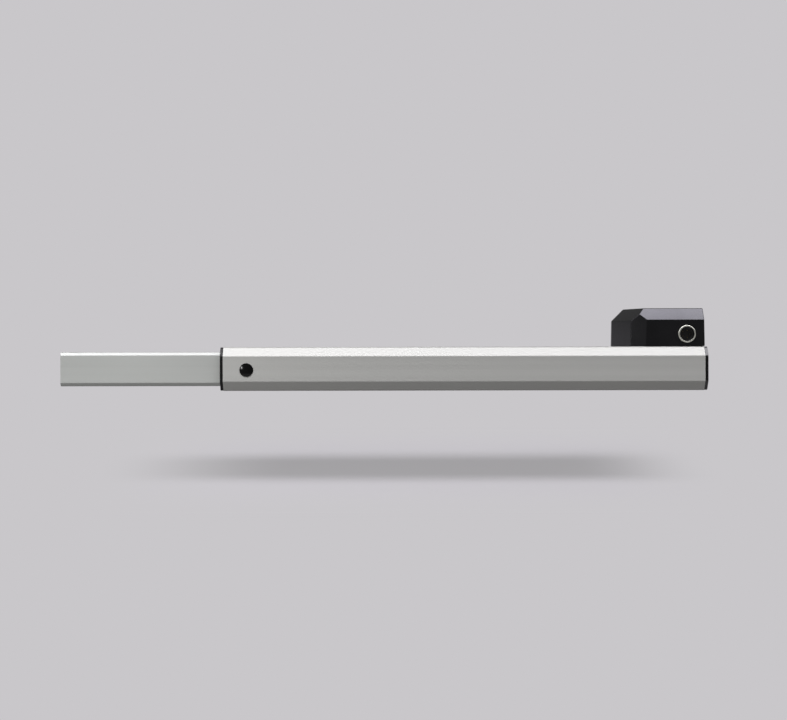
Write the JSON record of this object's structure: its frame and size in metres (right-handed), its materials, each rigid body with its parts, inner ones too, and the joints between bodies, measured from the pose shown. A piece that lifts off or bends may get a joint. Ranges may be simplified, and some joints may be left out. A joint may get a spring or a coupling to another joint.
{
  "type": "electric linear actuator",
  "caption": "Electric linear actuator: flat bevelled aluminium column with a telescoping ram, driven by a lead screw and a gear motor under a faceted black cover with a round power socket.",
  "frame": {"origin": "centre of the rear cap's outer face, on the lead screw's axis", "axes": "+X points out of the rear end, the ram slides out towards -X, +Z points from the column to the motor cover, and the power socket faces -Y"},
  "size_m": [0.6645, 0.0872, 0.0844],
  "materials": {
    "column_aluminium": "satin anodised, fine extrusion lines",
    "ram_aluminium": "satin anodised, fine extrusion lines",
    "black_plastic": "satin moulded",
    "cover_plastic": "fine spark texture",
    "black_rubber": "matt",
    "cast_aluminium": "cast, machined faces",
    "steel": "bright zinc plated",
    "bearing_steel": "ground",
    "gear_plastic": "natural acetal",
    "brass": "machined",
    "motor_metal": "satin black",
    "motor_plastic": "satin",
    "magnet": "nickel plated",
    "circuit_board": "solder mask",
    "socket_metal": "satin nickel plated"
  },
  "bodies": {
    "column": {"outer_tube": "column_aluminium", "front_bush": "black_plastic", "wiper_seal": "black_rubber", "bush_pegs": "black_plastic", "rear_cap": "black_plastic", "bearing_block": "cast_aluminium", "bearing_outer_ring": "bearing_steel", "drive_plate": "cast_aluminium", "idler_pin": "steel", "screw_support": "gear_plastic", "gearhead": "motor_metal", "motor_can": "motor_metal", "motor_end_bell": "motor_plastic", "sensor_board": "circuit_board", "motor_cover": "cover_plastic", "cover_gasket": "black_rubber", "cover_screws": "steel", "socket_shell": "socket_metal", "socket_insert": "motor_plastic", "socket_nut": "steel", "motor_lead": "motor_plastic"},
    "spindle": {"lead_screw": "steel", "bearing_inner_ring": "bearing_steel", "bearing_spacer": "steel", "screw_gear": "gear_plastic", "lock_nut": "steel"},
    "idler": {"idler_gear": "gear_plastic"},
    "rotor": {"motor_shaft": "steel", "motor_pinion": "brass", "sensor_magnet": "magnet"},
    "ram": {"inner_tube": "ram_aluminium", "end_plug": "cast_aluminium", "nut_carrier": "gear_plastic", "screw_nut": "brass"}
  },
  "joints": [
    {"name": "ram_slide", "type": "slide", "parent": "column", "child": "ram", "axis": [-1, 0, 0], "range_m": [-0.15, 0.15]},
    {"name": "spindle_spin", "type": "hinge", "parent": "column", "child": "spindle", "pos_m": [0, 0, 0], "axis": [1, 0, 0], "range_deg": [-9200, 9200]},
    {"name": "idler_spin", "type": "hinge", "parent": "column", "child": "idler", "pos_m": [0, 0, 0.024], "axis": [1, 0, 0], "range_deg": [-12900, 12900]},
    {"name": "rotor_spin", "type": "hinge", "parent": "column", "child": "rotor", "pos_m": [0, 0, 0.041], "axis": [1, 0, 0], "range_deg": [-18400, 18400]}
  ],
  "couplings": [
    {"joint": "spindle_spin", "follows": "ram_slide", "rad_per_m": 1047.2},
    {"joint": "idler_spin", "follows": "ram_slide", "rad_per_m": -1466.1},
    {"joint": "rotor_spin", "follows": "ram_slide", "rad_per_m": 2094.4}
  ]
}
